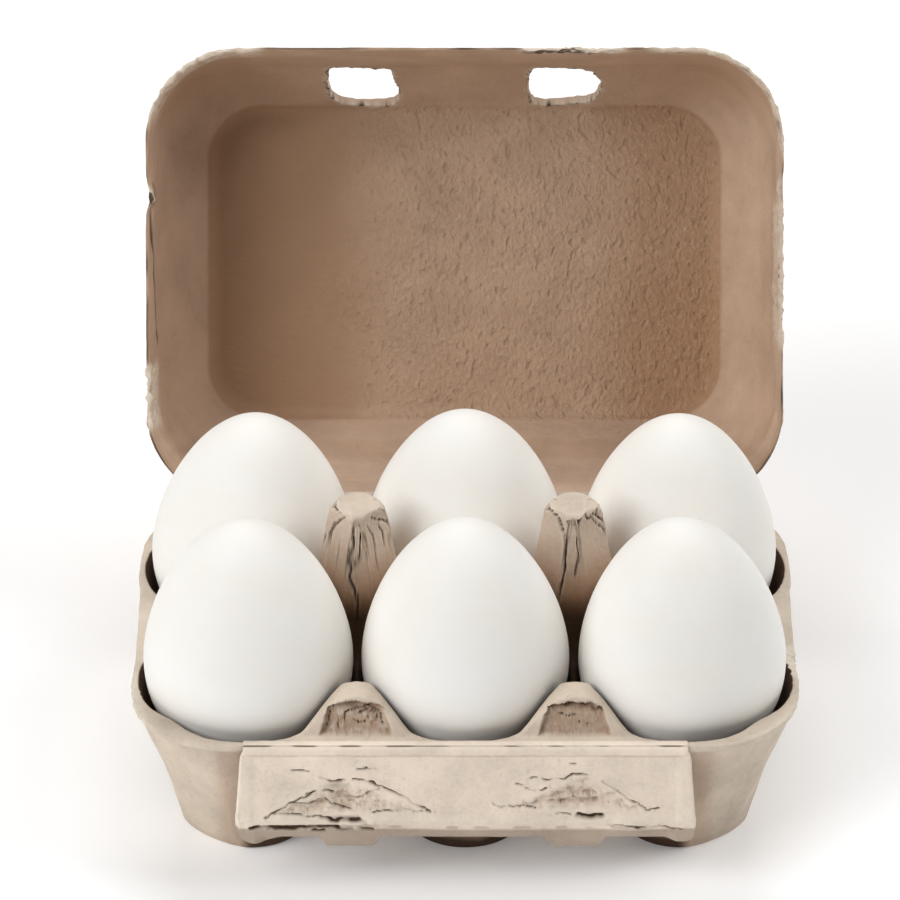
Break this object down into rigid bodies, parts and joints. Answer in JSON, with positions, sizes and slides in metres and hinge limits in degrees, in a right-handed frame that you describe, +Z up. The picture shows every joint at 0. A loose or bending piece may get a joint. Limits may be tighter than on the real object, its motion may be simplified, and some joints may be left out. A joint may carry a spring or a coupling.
{
  "type": "egg carton",
  "caption": "Moulded pulp egg carton, open, with matte white eggs in its cups, two hollow posts, a hinged lid with latch holes and a hanging closing flap with tongues.",
  "frame": {"origin": "under the middle of the open carton's bounding box, on the plane the cups' feet stand on", "axes": "+Z up; -Y to the front, where the flap hangs; +Y to the back, where the open lid leans; +X to the right seen from the front"},
  "size_m": [0.146, 0.1788, 0.1313],
  "materials": {
    "pulp": "matte",
    "lid_pulp": "matte",
    "eggshell": "matte"
  },
  "bodies": {
    "tray": {"tray": "pulp", "egg_front_left": "eggshell", "egg_front_middle": "eggshell", "egg_front_right": "eggshell", "egg_back_left": "eggshell", "egg_back_middle": "eggshell", "egg_back_right": "eggshell"},
    "lid": {"lid": "lid_pulp"},
    "flap": {"flap": "pulp"}
  },
  "joints": [
    {"name": "lid_hinge", "type": "hinge", "parent": "tray", "child": "lid", "pos_m": [0, 0.01484, 0.03655], "axis": [1, 0, 0], "range_deg": [-45, 115]},
    {"name": "flap_hinge", "type": "hinge", "parent": "tray", "child": "flap", "pos_m": [0, -0.08796, 0.0362], "axis": [-1, 0, 0], "range_deg": [0, 193.4]}
  ]
}
